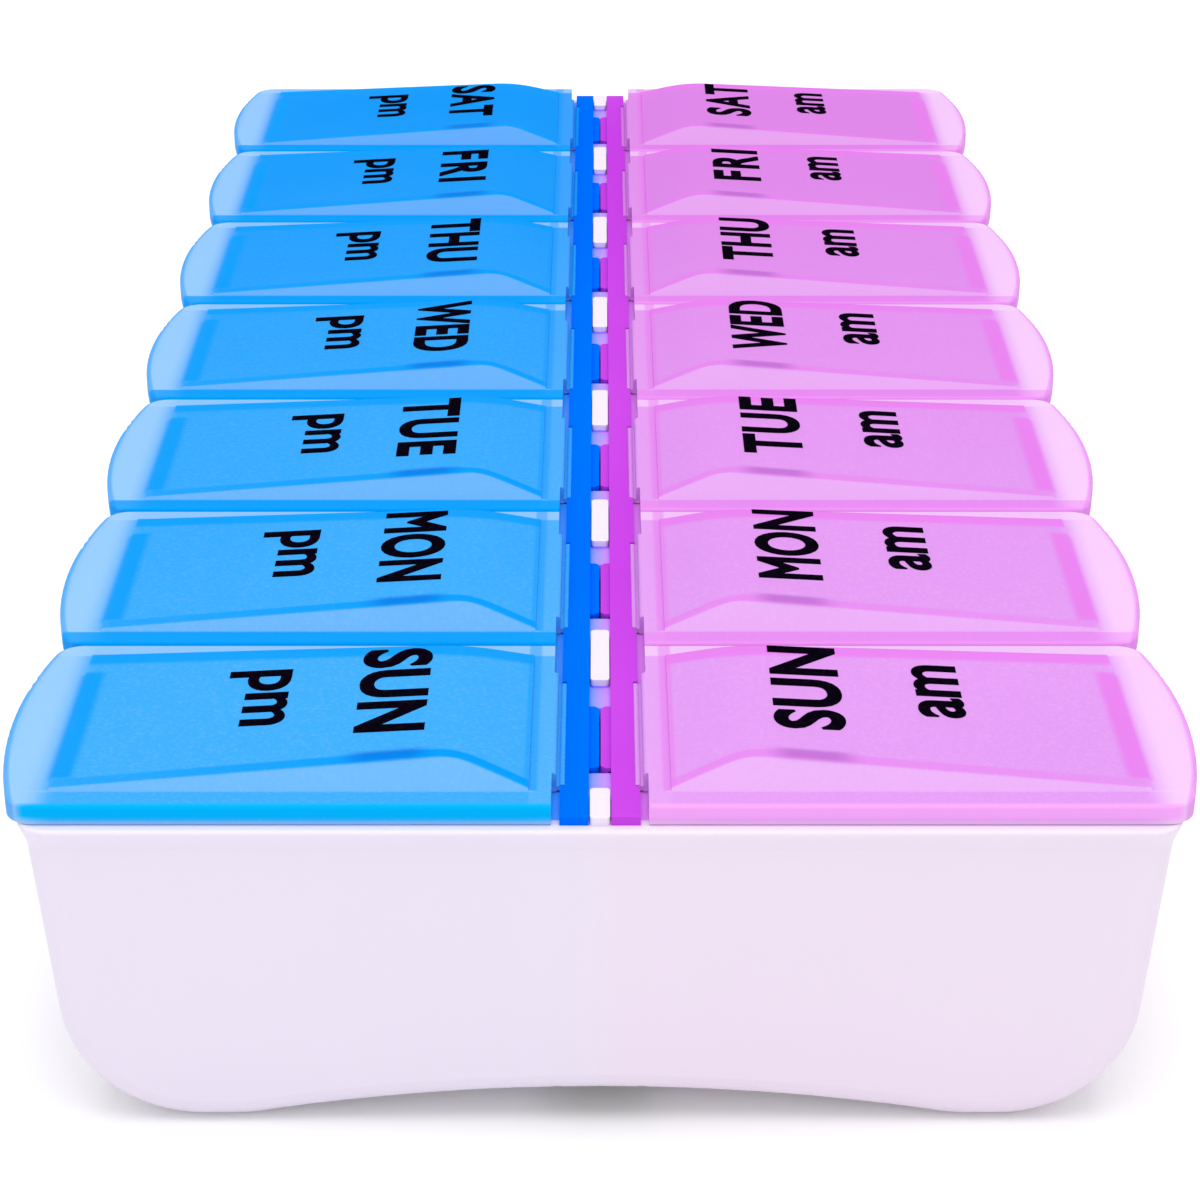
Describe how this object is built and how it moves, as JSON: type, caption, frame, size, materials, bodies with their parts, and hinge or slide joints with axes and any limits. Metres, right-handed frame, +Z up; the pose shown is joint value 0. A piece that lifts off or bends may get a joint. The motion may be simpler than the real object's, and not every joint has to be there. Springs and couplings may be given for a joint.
{
  "type": "weekly pill organizer",
  "caption": "Weekly pill organizer: a white tray with morning and evening compartments for each day, each under its own translucent lid hinged on the central spine.",
  "frame": {"origin": "middle of the overall length and width, on the floor that the feet stand on", "axes": "+Y along the week from Sunday to Saturday, +X towards the morning side, +Z up"},
  "size_m": [0.103, 0.2118, 0.0348],
  "materials": {
    "tray_white": "satin",
    "am_strip_violet": "satin",
    "pm_strip_blue": "satin",
    "am_lid_violet": "frosted translucent",
    "pm_lid_blue": "frosted translucent"
  },
  "bodies": {
    "tray": {"tray": "tray_white", "dividers": "tray_white", "am_hinge_strip": "am_strip_violet", "pm_hinge_strip": "pm_strip_blue"},
    "am_lid_sun": {"am_lid_sun": "am_lid_violet"},
    "am_lid_mon": {"am_lid_mon": "am_lid_violet"},
    "am_lid_tue": {"am_lid_tue": "am_lid_violet"},
    "am_lid_wed": {"am_lid_wed": "am_lid_violet"},
    "am_lid_thu": {"am_lid_thu": "am_lid_violet"},
    "am_lid_fri": {"am_lid_fri": "am_lid_violet"},
    "am_lid_sat": {"am_lid_sat": "am_lid_violet"},
    "pm_lid_sun": {"pm_lid_sun": "pm_lid_blue"},
    "pm_lid_mon": {"pm_lid_mon": "pm_lid_blue"},
    "pm_lid_tue": {"pm_lid_tue": "pm_lid_blue"},
    "pm_lid_wed": {"pm_lid_wed": "pm_lid_blue"},
    "pm_lid_thu": {"pm_lid_thu": "pm_lid_blue"},
    "pm_lid_fri": {"pm_lid_fri": "pm_lid_blue"},
    "pm_lid_sat": {"pm_lid_sat": "pm_lid_blue"}
  },
  "joints": [
    {"name": "am_lid_sun_hinge", "type": "hinge", "parent": "tray", "child": "am_lid_sun", "pos_m": [0.0032, -0.09, 0.03132], "axis": [0, -1, 0], "range_deg": [0, 85]},
    {"name": "am_lid_mon_hinge", "type": "hinge", "parent": "tray", "child": "am_lid_mon", "pos_m": [0.0032, -0.06, 0.03132], "axis": [0, -1, 0], "range_deg": [0, 85]},
    {"name": "am_lid_tue_hinge", "type": "hinge", "parent": "tray", "child": "am_lid_tue", "pos_m": [0.0032, -0.03, 0.03132], "axis": [0, -1, 0], "range_deg": [0, 85]},
    {"name": "am_lid_wed_hinge", "type": "hinge", "parent": "tray", "child": "am_lid_wed", "pos_m": [0.0032, 0, 0.03132], "axis": [0, -1, 0], "range_deg": [0, 85]},
    {"name": "am_lid_thu_hinge", "type": "hinge", "parent": "tray", "child": "am_lid_thu", "pos_m": [0.0032, 0.03, 0.03132], "axis": [0, -1, 0], "range_deg": [0, 85]},
    {"name": "am_lid_fri_hinge", "type": "hinge", "parent": "tray", "child": "am_lid_fri", "pos_m": [0.0032, 0.06, 0.03132], "axis": [0, -1, 0], "range_deg": [0, 85]},
    {"name": "am_lid_sat_hinge", "type": "hinge", "parent": "tray", "child": "am_lid_sat", "pos_m": [0.0032, 0.09, 0.03132], "axis": [0, -1, 0], "range_deg": [0, 85]},
    {"name": "pm_lid_sun_hinge", "type": "hinge", "parent": "tray", "child": "pm_lid_sun", "pos_m": [-0.0032, -0.09, 0.03132], "axis": [0, 1, 0], "range_deg": [0, 85]},
    {"name": "pm_lid_mon_hinge", "type": "hinge", "parent": "tray", "child": "pm_lid_mon", "pos_m": [-0.0032, -0.06, 0.03132], "axis": [0, 1, 0], "range_deg": [0, 85]},
    {"name": "pm_lid_tue_hinge", "type": "hinge", "parent": "tray", "child": "pm_lid_tue", "pos_m": [-0.0032, -0.03, 0.03132], "axis": [0, 1, 0], "range_deg": [0, 85]},
    {"name": "pm_lid_wed_hinge", "type": "hinge", "parent": "tray", "child": "pm_lid_wed", "pos_m": [-0.0032, 0, 0.03132], "axis": [0, 1, 0], "range_deg": [0, 85]},
    {"name": "pm_lid_thu_hinge", "type": "hinge", "parent": "tray", "child": "pm_lid_thu", "pos_m": [-0.0032, 0.03, 0.03132], "axis": [0, 1, 0], "range_deg": [0, 85]},
    {"name": "pm_lid_fri_hinge", "type": "hinge", "parent": "tray", "child": "pm_lid_fri", "pos_m": [-0.0032, 0.06, 0.03132], "axis": [0, 1, 0], "range_deg": [0, 85]},
    {"name": "pm_lid_sat_hinge", "type": "hinge", "parent": "tray", "child": "pm_lid_sat", "pos_m": [-0.0032, 0.09, 0.03132], "axis": [0, 1, 0], "range_deg": [0, 85]}
  ]
}
